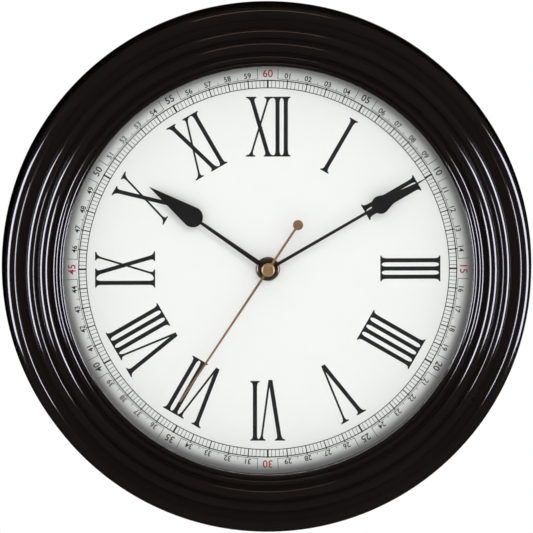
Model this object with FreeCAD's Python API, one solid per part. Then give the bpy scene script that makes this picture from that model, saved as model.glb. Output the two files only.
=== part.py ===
import FreeCAD, Part

import math
import os

# Schoolhouse wall clock with a quartz movement. Everything is drawn lying on the bench:
# x to the right, y to twelve o'clock, z from the wall to the viewer, origin on the hand
# axis at the wall. save() then stands it up: the dial faces -Y and twelve o'clock is +Z.

# case
OUTER_R = 152.5
WALL_T = 3.0
LIP_R = 117.5
FLAT_Z = 32.4
# each bead of the front: radius of its circle, height of its centre, size
OUTER_BEAD = (147.2, 30.0, 4.0)
STEP_BEAD = (136.3, 34.5, 3.0)
MAIN_BEAD = (129.1, 37.5, 3.0)
INNER_BEAD = (122.4, 38.0, 1.6)
LIP_BEAD = (118.9, 37.9, 1.3)
BAND_LOW_Z = 36.0
BAND_HIGH_Z = 36.4
VALLEY_Z = 37.0
RIM_POCKET_R = 149.5
LENS_POCKET_R = 120.8
POCKET_WALL_R = 123.8
CAVITY_STEP_R = 131.0
CAVITY_WALL_R = 136.6

# levels above the wall
BACK_LOW_Z = 20.7
DIAL_LOW_Z = 23.2
DIAL_TOP_Z = 24.0
LENS_LOW_Z = 35.0
LENS_TOP_Z = 37.0
LENS_R = 120.5
REVEAL_R = 118.2

# discs
DIAL_R = 123.5
BACK_R = 149.1
LEDGE_R = 146.6
STEM_HOLE_R = 4.2

# case screws
SCREW_COUNT = 6
SCREW_CIRCLE_R = 133.5
SCREW_R = 1.5
SCREW_HEAD_R = 3.0
SCREW_HEAD_H = 1.8
BOSS_R = 3.4
BOSS_TOP_Z = 32.4

# hanger
HANGER_SHEET = 1.2
HANGER_HALF_W = 16.0
HANGER_FOOT = 10.0
HANGER_LOW_Y = 112.0
HANGER_TOP_Y = 138.0
HANGER_REAR_Z = 1.8
KEYHOLE_Y = 121.0
KEYHOLE_R = 4.5
KEYSLOT_HALF_W = 2.0
KEYSLOT_TOP_Y = 131.0

# movement box
BOX_HALF = 28.0
BOX_WALL = 1.4
BOX_REAR_Z = 4.2
COVER_T = 1.2
BOX_FRONT_Z = 20.2
FRONT_WALL_Z = 19.2
BAY_TOP_Y = -11.2
BAY_WALL = 1.2

# stem, nut and hands
STEM_R = 3.95
STEM_BORE_R = 2.5
STEM_TOP_Z = 26.6
NUT_R = 6.95
NUT_LOW_Z = 24.3
NUT_TOP_Z = 26.3
HAND_T = 0.4
HOUR_HAND_Z = 27.5
MINUTE_HAND_Z = 29.2
SECOND_HAND_Z = 30.9
HOUR_PIPE_R = 2.45
HOUR_PIPE_TOP_Z = 28.0
MINUTE_PIPE_R = 1.6
MINUTE_PIPE_TOP_Z = 29.7
SECOND_ARBOR_R = 0.5
SECOND_TIP = 91.6
SECOND_TAIL = 31.0
WEIGHT_R = 2.95
HUB_R = 4.85
CAP_R = 3.9
CAP_H = 2.2
RUN_GAP = 0.05

# hands as they stand at ten past ten, degrees clockwise from twelve
HOUR_ANGLE = 305.0
MINUTE_ANGLE = 60.0
SECOND_ANGLE = 213.7

# wheel train: tooth counts and modules
TRAIN_MODULE = 0.25
CENTRE_MODULE = 8.5 / 36
MOTION_MODULE = 0.3125
HOUR_MODULE = 0.3
ROTOR_TEETH = 8
INTER_WHEEL_TEETH = 40
INTER_PINION_TEETH = 10
SECOND_WHEEL_TEETH = 60
SECOND_PINION_TEETH = 8
THIRD_WHEEL_TEETH = 60
THIRD_PINION_TEETH = 8
CENTRE_WHEEL_TEETH = 64
CANNON_TEETH = 12
MINUTE_WHEEL_TEETH = 36
MINUTE_PINION_TEETH = 10
HOUR_WHEEL_TEETH = 40
SET_TEETH = 12
PRESSURE_ANGLE = math.radians(20)
TOOTH_THIN = 0.045
WHEEL_ADDENDUM = 0.45
WHEEL_DEDENDUM = 1.2
PINION_ADDENDUM = 1.0
PINION_DEDENDUM = 0.7

# arbors
PIVOT_R = 0.4
ARBOR_R = 0.5
PLATE_LOW_Z = 6.2
PLATE_TOP_Z = 7.0
PIVOT_END_Z = 19.9
INTER_DIRECTION = math.radians(-10)
THIRD_DIRECTION = math.radians(60)
MOTION_DIRECTION = math.radians(160)
SET_AXIS = (-10.8, 9.07)

# battery
BATTERY_R = 7.25
BATTERY_Y = -19.0
BATTERY_Z = 11.7
BATTERY_LEFT_X = -24.9
BATTERY_BODY_RIGHT_X = 24.4
BATTERY_NUB_X = 25.5


def point(x, y, z=0.0):
    return FreeCAD.Vector(x, y, z)


def save(name, shape):
    shape = shape.removeSplitter()
    shape.rotate(point(0, 0, 0), point(1, 0, 0), 90)
    shape.exportStep("parts/" + name + ".step")


def disc(radius, low_z, top_z, x=0.0, y=0.0):
    return Part.makeCylinder(radius, top_z - low_z, point(x, y, low_z))


def ring(bore_r, outer_r, low_z, top_z, x=0.0, y=0.0):
    return disc(outer_r, low_z, top_z, x, y).cut(disc(bore_r, low_z - 1, top_z + 1, x, y))


def block(x0, x1, y0, y1, z0, z1):
    return Part.makeBox(x1 - x0, y1 - y0, z1 - z0, point(x0, y0, z0))


def slab(outline, low_z, top_z):
    wire = Part.makePolygon([point(x, y, low_z) for x, y in outline + outline[:1]])
    return Part.Face(wire).extrude(point(0, 0, top_z - low_z))


def polar(radius, angle, x=0.0, y=0.0):
    return (x + radius * math.cos(angle), y + radius * math.sin(angle))


def line(start, end):
    return Part.LineSegment(point(start[0], 0, start[1]), point(end[0], 0, end[1])).toShape()


def arc(start, middle, end):
    points = [point(r, 0, z) for r, z in (start, middle, end)]
    return Part.Arc(*points).toShape()


def turned(edges):
    face = Part.Face(Part.Wire(edges))
    return face.revolve(point(0, 0, 0), point(0, 0, 1), 360)


def joined(shapes):
    return shapes[0].multiFuse(shapes[1:])


# case

def bead(centre, left_z, right_z):
    # Top arc of a bead, from its outer side at left_z to its inner side at right_z.
    r, z, radius = centre
    left_x = r + math.sqrt(radius ** 2 - (left_z - z) ** 2)
    right_x = r - math.sqrt(radius ** 2 - (right_z - z) ** 2)
    return (left_x, left_z), (r, z + radius), (right_x, right_z)


def bezel_front():
    # Edges of the front from the rim inwards to the lens seat.
    beads = (
        bead(OUTER_BEAD, OUTER_BEAD[1], FLAT_Z),
        bead(STEP_BEAD, STEP_BEAD[1], BAND_LOW_Z),
        bead(MAIN_BEAD, MAIN_BEAD[1], MAIN_BEAD[1]),
        bead(INNER_BEAD, INNER_BEAD[1], INNER_BEAD[1]),
        bead(LIP_BEAD, LIP_BEAD[1], LIP_BEAD[1]),
    )
    step_foot = (beads[1][0][0], FLAT_Z)
    main_foot = (beads[2][0][0], BAND_HIGH_Z)
    main_inner = (beads[2][2][0], VALLEY_Z)
    inner_foot = (beads[3][0][0], VALLEY_Z)
    edges = [arc(*beads[0])]
    edges.append(line(beads[0][2], step_foot))
    edges.append(line(step_foot, beads[1][0]))
    edges.append(arc(*beads[1]))
    edges.append(line(beads[1][2], main_foot))
    edges.append(line(main_foot, beads[2][0]))
    edges.append(arc(*beads[2]))
    edges.append(line(beads[2][2], main_inner))
    edges.append(line(main_inner, inner_foot))
    edges.append(line(inner_foot, beads[3][0]))
    edges.append(arc(*beads[3]))
    edges.append(line(beads[3][2], beads[4][0]))
    edges.append(arc(*beads[4]))
    edges.append(line(beads[4][2], (LIP_R, LENS_TOP_Z)))
    return edges, beads[0][0]


def bezel():
    edges, start = bezel_front()
    back = (
        (LIP_R, LENS_TOP_Z),
        (LENS_POCKET_R, LENS_TOP_Z),
        (LENS_POCKET_R, DIAL_TOP_Z),
        (POCKET_WALL_R, DIAL_TOP_Z),
        (POCKET_WALL_R, VALLEY_Z - WALL_T),
        (CAVITY_STEP_R, VALLEY_Z - WALL_T),
        (CAVITY_STEP_R, BOSS_TOP_Z),
        (CAVITY_WALL_R, BOSS_TOP_Z),
        (CAVITY_WALL_R, FLAT_Z - WALL_T),
        (LEDGE_R, FLAT_Z - WALL_T),
        (LEDGE_R, DIAL_LOW_Z),
        (RIM_POCKET_R, DIAL_LOW_Z),
        (RIM_POCKET_R, 0.0),
        (OUTER_R - 0.8, 0.0),
    )
    for here, there in zip(back, back[1:]):
        edges.append(line(here, there))
    edges.append(arc(back[-1], (OUTER_R - 0.2, 0.6), (OUTER_R, 2.0)))
    edges.append(line((OUTER_R, 2.0), start))
    shell = turned(edges)
    bosses = []
    pilots = []
    for x, y in screw_places():
        bosses.append(disc(BOSS_R, DIAL_LOW_Z, BOSS_TOP_Z + 0.5, x, y))
        pilots.append(disc(SCREW_R + RUN_GAP, DIAL_LOW_Z - 1, BOSS_TOP_Z - 1.0, x, y))
    body = joined([shell] + bosses)
    return body.cut(joined(pilots))


def screw_places():
    step = 2 * math.pi / SCREW_COUNT
    return [polar(SCREW_CIRCLE_R, i * step) for i in range(SCREW_COUNT)]


def pan_screw(x, y, seat_z, length):
    head = disc(SCREW_HEAD_R, seat_z - SCREW_HEAD_H, seat_z, x, y)
    rim = [e for e in head.Edges if abs(e.BoundBox.ZMax - (seat_z - SCREW_HEAD_H)) < 0.01]
    head = head.makeFillet(0.7, [e for e in rim if e.Closed])
    shank = disc(SCREW_R, seat_z, seat_z + length, x, y)
    low_z = seat_z - SCREW_HEAD_H - 1
    slot_top_z = seat_z - SCREW_HEAD_H + 0.9
    slot = block(x - 1.8, x + 1.8, y - 0.35, y + 0.35, low_z, slot_top_z)
    cross = block(x - 0.35, x + 0.35, y - 1.8, y + 1.8, low_z, slot_top_z)
    return head.fuse(shank).cut(slot).cut(cross)


def case_screws():
    screws = [pan_screw(x, y, BACK_LOW_Z, 10.0) for x, y in screw_places()]
    return Part.makeCompound(screws)


def back_plate():
    plate = disc(BACK_R, BACK_LOW_Z, DIAL_LOW_Z)
    holes = [disc(STEM_HOLE_R, BACK_LOW_Z - 1, DIAL_LOW_Z + 1)]
    for x, y in screw_places():
        holes.append(disc(SCREW_R + 0.2, BACK_LOW_Z - 1, DIAL_LOW_Z + 1, x, y))
    for x, y in hanger_screw_places():
        holes.append(disc(SCREW_R + RUN_GAP, BACK_LOW_Z - 1, DIAL_LOW_Z + 1, x, y))
    return plate.cut(joined(holes))


def dial():
    return ring(STEM_HOLE_R, DIAL_R, DIAL_LOW_Z, DIAL_TOP_Z)


def reveal_ring():
    return ring(REVEAL_R, LENS_POCKET_R - 0.2, DIAL_TOP_Z, LENS_LOW_Z)


def lens():
    return disc(LENS_R, LENS_LOW_Z, LENS_TOP_Z)


# hanger

def hanger_screw_places():
    x = HANGER_HALF_W + HANGER_FOOT / 2
    ys = (HANGER_LOW_Y + 6.0, HANGER_TOP_Y - 6.0)
    return [(side * x, y) for side in (-1, 1) for y in ys]


def hanger_plate():
    half = HANGER_HALF_W
    t = HANGER_SHEET
    ends = (HANGER_LOW_Y, HANGER_TOP_Y)
    bridge = block(-half, half, *ends, HANGER_REAR_Z, HANGER_REAR_Z + t)
    pieces = [bridge]
    for side in (-1, 1):
        inner, outer = sorted((side * (half - t), side * half))
        pieces.append(block(inner, outer, *ends, HANGER_REAR_Z, BACK_LOW_Z))
        inner, outer = sorted((side * (half - t), side * (half + HANGER_FOOT)))
        pieces.append(block(inner, outer, *ends, BACK_LOW_Z - t, BACK_LOW_Z))
    plate = joined(pieces)
    low_z = HANGER_REAR_Z - 1
    top_z = HANGER_REAR_Z + t + 1
    slot_w = KEYSLOT_HALF_W
    cuts = [disc(KEYHOLE_R, low_z, top_z, 0, KEYHOLE_Y)]
    cuts.append(block(-slot_w, slot_w, KEYHOLE_Y, KEYSLOT_TOP_Y, low_z, top_z))
    cuts.append(disc(slot_w, low_z, top_z, 0, KEYSLOT_TOP_Y))
    for x, y in hanger_screw_places():
        cuts.append(disc(SCREW_R + 0.2, BACK_LOW_Z - t - 1, BACK_LOW_Z + 1, x, y))
    return plate.cut(joined(cuts))


def hanger_screws():
    seat_z = BACK_LOW_Z - HANGER_SHEET
    length = DIAL_LOW_Z - seat_z - 0.3
    screws = [pan_screw(x, y, seat_z, length) for x, y in hanger_screw_places()]
    return Part.makeCompound(screws)


# gears

def involute(base_r, radius):
    # Angle swept by the involute of base_r when it reaches radius.
    tangent = math.sqrt(max((radius / base_r) ** 2 - 1, 0.0))
    return tangent - math.atan(tangent)


def gear(teeth, module, is_wheel, phase, x, y, low_z, top_z):
    addendum, dedendum = (WHEEL_ADDENDUM, WHEEL_DEDENDUM)
    if not is_wheel:
        addendum, dedendum = (PINION_ADDENDUM, PINION_DEDENDUM)
    pitch_r = teeth * module / 2
    tip_r = pitch_r + addendum * module
    root_r = pitch_r - dedendum * module
    base_r = pitch_r * math.cos(PRESSURE_ANGLE)
    start_r = max(base_r, root_r)
    half = math.pi / (2 * teeth) - TOOTH_THIN / pitch_r / 2
    at_pitch = involute(base_r, pitch_r)

    def flank(radius, side, centre):
        angle = centre + side * (half + at_pitch - involute(base_r, radius))
        return point(*polar(radius, angle, x, y), low_z)

    def root(side, centre):
        angle = centre + side * (half + at_pitch - involute(base_r, start_r))
        return point(*polar(root_r, angle, x, y), low_z)

    pitch_angle = 2 * math.pi / teeth
    mid_r = (start_r + tip_r) / 2
    edges = []
    for i in range(teeth):
        centre = phase + i * pitch_angle
        rise = [flank(r, -1, centre) for r in (start_r, mid_r, tip_r)]
        fall = [flank(r, 1, centre) for r in (tip_r, mid_r, start_r)]
        crown = point(*polar(tip_r, centre, x, y), low_z)
        valley = point(*polar(root_r, centre + pitch_angle / 2, x, y), low_z)
        if root_r < start_r:
            edges.append(Part.LineSegment(root(-1, centre), rise[0]).toShape())
        edges.append(Part.Arc(*rise).toShape())
        edges.append(Part.Arc(rise[2], crown, fall[0]).toShape())
        edges.append(Part.Arc(*fall).toShape())
        if root_r < start_r:
            edges.append(Part.LineSegment(fall[2], root(1, centre)).toShape())
        edges.append(Part.Arc(root(1, centre), valley, root(-1, centre + pitch_angle)).toShape())
    face = Part.Face(Part.Wire(edges))
    return face.extrude(point(0, 0, top_z - low_z))


def mesh_phase(driver_teeth, driver_phase, driven_teeth, direction):
    # Phase of the driven gear that meshes with the driver, along direction to it.
    pitch = 2 * math.pi / driver_teeth
    fraction = ((direction - driver_phase) / pitch) % 1.0
    return direction + math.pi - (0.5 - fraction) * 2 * math.pi / driven_teeth


def centres(teeth_a, teeth_b, module):
    return (teeth_a + teeth_b) * module / 2


THIRD_AXIS = polar(centres(SECOND_PINION_TEETH, THIRD_WHEEL_TEETH, TRAIN_MODULE), THIRD_DIRECTION)
INTER_AXIS = polar(centres(INTER_PINION_TEETH, SECOND_WHEEL_TEETH, TRAIN_MODULE), INTER_DIRECTION)
ROTOR_AXIS = (INTER_AXIS[0] + centres(ROTOR_TEETH, INTER_WHEEL_TEETH, TRAIN_MODULE), INTER_AXIS[1])
MOTION_AXIS = polar(centres(CANNON_TEETH, MINUTE_WHEEL_TEETH, MOTION_MODULE), MOTION_DIRECTION)


def arbor(x, y, low_z, top_z):
    # Arbor between two pivots, one in the bearing plate and one in the front wall.
    rod = disc(ARBOR_R, PLATE_TOP_Z + 0.1, FRONT_WALL_Z - 0.9, x, y)
    pivots = disc(PIVOT_R, low_z, top_z, x, y)
    return rod.fuse(pivots)


def spokes(wheel, x, y, reach, count, low_z, top_z):
    # Cut round windows that leave a 1 mm spoke between each two of them.
    circle_r = reach * 0.62
    hole_r = circle_r * math.sin(math.pi / count) - 0.5
    for i in range(count):
        hx, hy = polar(circle_r, i * 2 * math.pi / count, x, y)
        wheel = wheel.cut(disc(hole_r, low_z - 1, top_z + 1, hx, hy))
    return wheel


# going train, from the rotor to the centre wheel

def rotor_magnet():
    return ring(ARBOR_R, 3.0, 8.8, 11.8, *ROTOR_AXIS)


def rotor_pinion():
    x, y = ROTOR_AXIS
    toothed = gear(ROTOR_TEETH, TRAIN_MODULE, False, 0.0, x, y, 7.2, 8.6)
    return toothed.fuse(arbor(x, y, PLATE_LOW_Z, PIVOT_END_Z))


def intermediate_wheel():
    x, y = INTER_AXIS
    phase = mesh_phase(ROTOR_TEETH, 0.0, INTER_WHEEL_TEETH, math.pi)
    wheel = gear(INTER_WHEEL_TEETH, TRAIN_MODULE, True, phase, x, y, 7.4, 8.2)
    wheel = spokes(wheel, x, y, 4.8, 5, 7.4, 8.2)
    return wheel.cut(disc(ARBOR_R, 7.0, 9.0, x, y))


def intermediate_pinion():
    x, y = INTER_AXIS
    toothed = gear(INTER_PINION_TEETH, TRAIN_MODULE, False, 0.0, x, y, 9.0, 10.4)
    shoulder = disc(1.1, 8.2, 9.0, x, y)
    return joined([toothed, shoulder, arbor(x, y, PLATE_LOW_Z, PIVOT_END_Z)])


def second_wheel():
    toward = INTER_DIRECTION + math.pi
    phase = mesh_phase(INTER_PINION_TEETH, 0.0, SECOND_WHEEL_TEETH, toward)
    wheel = gear(SECOND_WHEEL_TEETH, TRAIN_MODULE, True, phase, 0, 0, 9.2, 10.0)
    wheel = spokes(wheel, 0, 0, 7.0, 6, 9.2, 10.0)
    return wheel.cut(disc(SECOND_ARBOR_R, 9.0, 11.0))


def second_arbor():
    toothed = gear(SECOND_PINION_TEETH, TRAIN_MODULE, False, 0.0, 0, 0, 11.2, 12.6)
    shoulder = disc(1.2, 10.0, 11.2)
    rod = disc(SECOND_ARBOR_R, PLATE_TOP_Z + 0.1, SECOND_HAND_Z + 0.25)
    pivot = disc(PIVOT_R, PLATE_LOW_Z, PLATE_TOP_Z + 0.2)
    return joined([toothed, shoulder, rod, pivot])


def third_wheel():
    x, y = THIRD_AXIS
    phase = mesh_phase(SECOND_PINION_TEETH, 0.0, THIRD_WHEEL_TEETH, THIRD_DIRECTION)
    wheel = gear(THIRD_WHEEL_TEETH, TRAIN_MODULE, True, phase, x, y, 11.4, 12.2)
    wheel = spokes(wheel, x, y, 7.0, 6, 11.4, 12.2)
    return wheel.cut(disc(ARBOR_R, 11.0, 13.0, x, y))


def third_pinion():
    x, y = THIRD_AXIS
    toothed = gear(THIRD_PINION_TEETH, CENTRE_MODULE, False, 0.0, x, y, 13.2, 14.6)
    shoulder = disc(0.8, 12.2, 13.2, x, y)
    return joined([toothed, shoulder, arbor(x, y, PLATE_LOW_Z, PIVOT_END_Z)])


def centre_wheel():
    toward = THIRD_DIRECTION + math.pi
    phase = mesh_phase(THIRD_PINION_TEETH, 0.0, CENTRE_WHEEL_TEETH, toward)
    wheel = gear(CENTRE_WHEEL_TEETH, CENTRE_MODULE, True, phase, 0, 0, 13.4, 14.2)
    wheel = spokes(wheel, 0, 0, 7.2, 6, 13.4, 14.2)
    return wheel.cut(disc(1.1 + RUN_GAP, 13.0, 15.0))


def clutch_spring():
    # Dished star washer that drags the cannon pinion round with the centre wheel.
    washer = ring(1.2, 1.7, 14.2, 15.1)
    cup = ring(1.2, 2.8, 14.2, 14.4)
    arms = []
    for i in range(3):
        arm = block(1.2, 2.8, -0.5, 0.5, 14.2, 14.6)
        arm.rotate(point(0, 0, 0), point(0, 0, 1), i * 120)
        arms.append(arm)
    return joined([washer, cup] + arms)


# motion work and hand setting

def cannon_pinion():
    toothed = gear(CANNON_TEETH, MOTION_MODULE, False, 0.0, 0, 0, 15.2, 16.6)
    sleeve = disc(1.1, 13.0, 15.2)
    pipe = disc(MINUTE_PIPE_R, 16.6, MINUTE_PIPE_TOP_Z)
    bore = disc(SECOND_ARBOR_R + RUN_GAP, 12.0, MINUTE_PIPE_TOP_Z + 1)
    return joined([toothed, sleeve, pipe]).cut(bore)


def minute_wheel():
    x, y = MOTION_AXIS
    phase = mesh_phase(CANNON_TEETH, 0.0, MINUTE_WHEEL_TEETH, MOTION_DIRECTION)
    wheel = gear(MINUTE_WHEEL_TEETH, MOTION_MODULE, True, phase, x, y, 15.4, 16.2)
    leaves = gear(MINUTE_PINION_TEETH, HOUR_MODULE, False, 0.0, x, y, 16.9, 18.4)
    hub = disc(1.2, 16.2, 16.9, x, y)
    bore = disc(0.8 + RUN_GAP, 15.0, 19.0, x, y)
    return joined([wheel, hub, leaves]).cut(bore)


def minute_wheel_washer():
    return ring(0.8 + RUN_GAP, 1.8, 18.55, 19.05, *MOTION_AXIS)


def hour_wheel():
    toward = MOTION_DIRECTION + math.pi
    phase = mesh_phase(MINUTE_PINION_TEETH, 0.0, HOUR_WHEEL_TEETH, toward)
    wheel = gear(HOUR_WHEEL_TEETH, HOUR_MODULE, True, phase, 0, 0, 17.2, 18.2)
    pipe = disc(HOUR_PIPE_R, 18.2, HOUR_PIPE_TOP_Z)
    return wheel.fuse(pipe).cut(disc(MINUTE_PIPE_R + RUN_GAP, 17.0, HOUR_PIPE_TOP_Z + 1))


def hour_wheel_washer():
    return ring(HOUR_PIPE_R + RUN_GAP, 4.2, 18.45, 18.95)


def set_shaft():
    x, y = SET_AXIS
    toward = math.atan2(y - MOTION_AXIS[1], x - MOTION_AXIS[0])
    wheel_phase = mesh_phase(CANNON_TEETH, 0.0, MINUTE_WHEEL_TEETH, MOTION_DIRECTION)
    phase = mesh_phase(MINUTE_WHEEL_TEETH, wheel_phase, SET_TEETH, toward)
    toothed = gear(SET_TEETH, MOTION_MODULE, False, phase, x, y, 15.2, 16.6)
    rod = disc(1.0, 1.4, 15.2, x, y)
    collar = disc(1.6, 6.35, 7.2, x, y)
    pivot = disc(0.6, 16.6, 18.4, x, y)
    return joined([toothed, rod, collar, pivot])


def set_shaft_washer():
    return ring(1.0 + RUN_GAP, 2.4, 5.55, 6.1, *SET_AXIS)


def set_knob():
    x, y = SET_AXIS
    body = disc(5.5, 1.2, 3.8, x, y)
    grooves = []
    for i in range(18):
        gx, gy = polar(5.75, i * math.pi / 9, x, y)
        grooves.append(disc(0.5, 0.0, 5.0, gx, gy))
    return body.cut(joined(grooves)).cut(disc(1.0, 1.4, 5.0, x, y))


# movement box

POST_PLACES = ((-6.5, -7.3), (-5.5, 12.5), (10.5, 17.0), (19.5, -8.0))
BOARD_POSTS = ((-23.0, -6.5), (-23.0, 23.0))


def movement_housing():
    half = BOX_HALF
    inner = half - BOX_WALL
    shell = block(-half, half, -half, half, BOX_REAR_Z + COVER_T, BOX_FRONT_Z)
    uprights = [e for e in shell.Edges if abs(e.BoundBox.ZLength - shell.BoundBox.ZLength) < 0.01]
    shell = shell.makeFillet(2.0, uprights)
    shell = shell.cut(block(-inner, inner, -inner, inner, 0, FRONT_WALL_Z))
    pieces = [shell]
    bay_wall_top = BAY_TOP_Y + BAY_WALL
    pieces.append(block(-inner, inner, BAY_TOP_Y, bay_wall_top, BOX_REAR_Z + COVER_T, FRONT_WALL_Z))
    for x, y in POST_PLACES:
        pieces.append(disc(1.0, PLATE_TOP_Z, FRONT_WALL_Z, x, y))
        pieces.append(disc(0.5, PLATE_LOW_Z - 0.4, PLATE_TOP_Z, x, y))
    for x, y in BOARD_POSTS:
        pieces.append(disc(1.2, 8.8, FRONT_WALL_Z, x, y))
    for x, y in (THIRD_AXIS, INTER_AXIS, ROTOR_AXIS):
        pieces.append(disc(1.4, FRONT_WALL_Z - 0.7, FRONT_WALL_Z, x, y))
    pieces.append(disc(1.5, 17.2, FRONT_WALL_Z, *SET_AXIS))
    pieces.append(disc(0.8, 14.9, FRONT_WALL_Z, *MOTION_AXIS))
    housing = joined(pieces)
    bores = [disc(STEM_R, FRONT_WALL_Z - 1, BOX_FRONT_Z + 1)]
    for x, y in (THIRD_AXIS, INTER_AXIS, ROTOR_AXIS):
        bores.append(disc(PIVOT_R + RUN_GAP, FRONT_WALL_Z - 2, PIVOT_END_Z + 0.1, x, y))
    bores.append(disc(0.6 + RUN_GAP, 17.0, 18.6, *SET_AXIS))
    return housing.cut(joined(bores))


def movement_cover():
    half = BOX_HALF
    top_z = BOX_REAR_Z + COVER_T
    lid = block(-half, half, -half, half, BOX_REAR_Z, top_z)
    uprights = [e for e in lid.Edges if abs(e.BoundBox.ZLength - COVER_T) < 0.01]
    lid = lid.makeFillet(2.0, uprights)
    bay = block(-25.8, 25.8, -26.5, BAY_TOP_Y - 0.2, 0, top_z + 1)
    return lid.cut(bay).cut(disc(1.0 + RUN_GAP, 0, top_z + 1, *SET_AXIS))


def bearing_plate():
    outline = [(-8.0, -9.2), (21.0, -9.2), (21.0, 3.0), (12.6, 18.6), (-7.4, 14.6)]
    plate = slab(outline, PLATE_LOW_Z, PLATE_TOP_Z)
    bores = [disc(0.5, 5, 8, x, y) for x, y in POST_PLACES]
    for x, y in ((0, 0), THIRD_AXIS, INTER_AXIS, ROTOR_AXIS):
        bores.append(disc(PIVOT_R + RUN_GAP, 5, 8, x, y))
    return plate.cut(joined(bores))


def threaded_stem():
    # Brass stem with thread ridges between the back plate and the nut.
    stem = ring(STEM_BORE_R, STEM_R, FRONT_WALL_Z, STEM_TOP_Z)
    flange = ring(STEM_R - 0.1, 5.2, BOX_FRONT_Z, BOX_FRONT_Z + 0.4)
    return stem.fuse(flange)


def rubber_washer():
    outer = ring(5.2, 10.0, BOX_FRONT_Z, BACK_LOW_Z)
    return outer


def front_washer():
    return ring(STEM_R + RUN_GAP, 6.4, DIAL_TOP_Z, NUT_LOW_Z)


def fixing_nut():
    nut = disc(NUT_R, NUT_LOW_Z, NUT_TOP_Z)
    rim = [e for e in nut.Edges if e.Closed and e.BoundBox.ZMin > NUT_TOP_Z - 0.01]
    nut = nut.makeFillet(0.6, rim)
    grips = []
    for side in (-1, 1):
        grips.append(block(side * NUT_R - 0.8, side * NUT_R + 0.8, -0.7, 0.7, NUT_LOW_Z, NUT_TOP_Z + 1))
    return nut.cut(disc(STEM_R, NUT_LOW_Z - 1, NUT_TOP_Z + 1)).cut(joined(grips))


# electrics

def circuit_board():
    board = block(-26.2, -15.2, -9.0, 25.6, 8.0, 8.8)
    return board


def clock_chip():
    return disc(2.6, 6.9, 8.0, -19.5, 3.0)


def quartz_crystal():
    can = Part.makeCylinder(1.0, 6.0, point(-19.5, 10.0, 7.0), point(0, 1, 0))
    leads = []
    for x in (-19.9, -19.1):
        leads.append(Part.makeCylinder(0.15, 2.0, point(x, 8.0, 7.6), point(0, 1, 0)))
        leads.append(Part.makeCylinder(0.15, 0.55, point(x, 8.15, 7.45)))
    return joined([can] + leads)


COIL_X = 22.5
COIL_LOW_Y = 4.0
COIL_TOP_Y = 21.0
COIL_Z = 12.4


def coil_bobbin():
    tube = block(COIL_X - 1.6, COIL_X + 1.6, COIL_LOW_Y, COIL_TOP_Y, COIL_Z - 1.2, COIL_Z + 1.2)
    ends = []
    for y in (COIL_LOW_Y, COIL_TOP_Y - 0.8):
        ends.append(block(COIL_X - 3.6, COIL_X + 3.6, y, y + 0.8, COIL_Z - 3.2, COIL_Z + 3.2))
    hole = block(COIL_X - 1.2, COIL_X + 1.2, 0, 26, COIL_Z - 0.8, COIL_Z + 0.8)
    return joined([tube] + ends).cut(hole)


def coil_winding():
    y0 = COIL_LOW_Y + 0.8
    y1 = COIL_TOP_Y - 0.8
    outer = block(COIL_X - 3.1, COIL_X + 3.1, y0, y1, COIL_Z - 2.8, COIL_Z + 2.8)
    long_edges = [e for e in outer.Edges if abs(e.BoundBox.YLength - (y1 - y0)) < 0.01]
    outer = outer.makeFillet(1.2, long_edges)
    return outer.cut(block(COIL_X - 1.6, COIL_X + 1.6, 0, 26, COIL_Z - 1.2, COIL_Z + 1.2))


def coil_core():
    return block(COIL_X - 1.2, COIL_X + 1.2, 0.0, 25.4, COIL_Z - 0.8, COIL_Z + 0.8)


def stator():
    # Flat magnetic yoke round the rotor, under both ends of the coil core.
    low_z = COIL_Z - 1.8
    top_z = COIL_Z - 0.8
    x, y = ROTOR_AXIS
    eye = disc(4.0, low_z, top_z, x, y)
    lower = block(x, 25.4, -4.6, 3.2, low_z, top_z)
    upright = block(13.0, 16.6, y, 25.4, low_z, top_z)
    upper = block(13.0, 25.4, 21.8, 25.4, low_z, top_z)
    plate = joined([eye, lower, upright, upper])
    return plate.cut(disc(3.4, low_z - 1, top_z + 1, x, y))


def positive_contact():
    leaf = block(26.0, 26.4, -24.0, -14.0, 6.5, 17.5)
    tab = block(25.9, 26.0, -20.5, -17.5, 10.2, 13.2)
    return leaf.fuse(tab)


def negative_contact():
    leaf = block(-26.4, -26.0, -24.0, -14.0, 6.5, 17.5)
    bow = block(-26.0, -25.3, -20.5, -17.5, 10.2, 13.2)
    return leaf.fuse(bow)


def battery_cell():
    def drum(radius, x0, x1):
        return Part.makeCylinder(radius, x1 - x0, point(x0, BATTERY_Y, BATTERY_Z), point(1, 0, 0))
    body = drum(BATTERY_R - 0.15, BATTERY_LEFT_X + 0.3, BATTERY_BODY_RIGHT_X)
    base = drum(4.5, BATTERY_LEFT_X, BATTERY_LEFT_X + 0.3)
    nub = drum(2.75, BATTERY_BODY_RIGHT_X, BATTERY_NUB_X)
    return joined([body, base, nub])


def battery_sleeve():
    def drum(radius, x0, x1):
        return Part.makeCylinder(radius, x1 - x0, point(x0, BATTERY_Y, BATTERY_Z), point(1, 0, 0))
    outer = drum(BATTERY_R, BATTERY_LEFT_X + 0.6, BATTERY_BODY_RIGHT_X - 0.3)
    return outer.cut(drum(BATTERY_R - 0.15, -30, 30))


# hands

def sheet_hand(outline, low_z, angle):
    hand = slab(outline, low_z, low_z + HAND_T)
    hand.rotate(point(0, 0, 0), point(0, 0, 1), -angle)
    return hand


def bulb_outline(centre_y, radius, from_angle, to_angle, steps=18):
    # Right half of a round bulb, from its lower side up, as points.
    points = []
    for i in range(steps + 1):
        angle = from_angle + (to_angle - from_angle) * i / steps
        points.append(polar(radius, angle, 0, centre_y))
    return points


def mirrored(right_side):
    left_side = [(-x, y) for x, y in reversed(right_side)]
    return right_side + left_side


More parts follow.
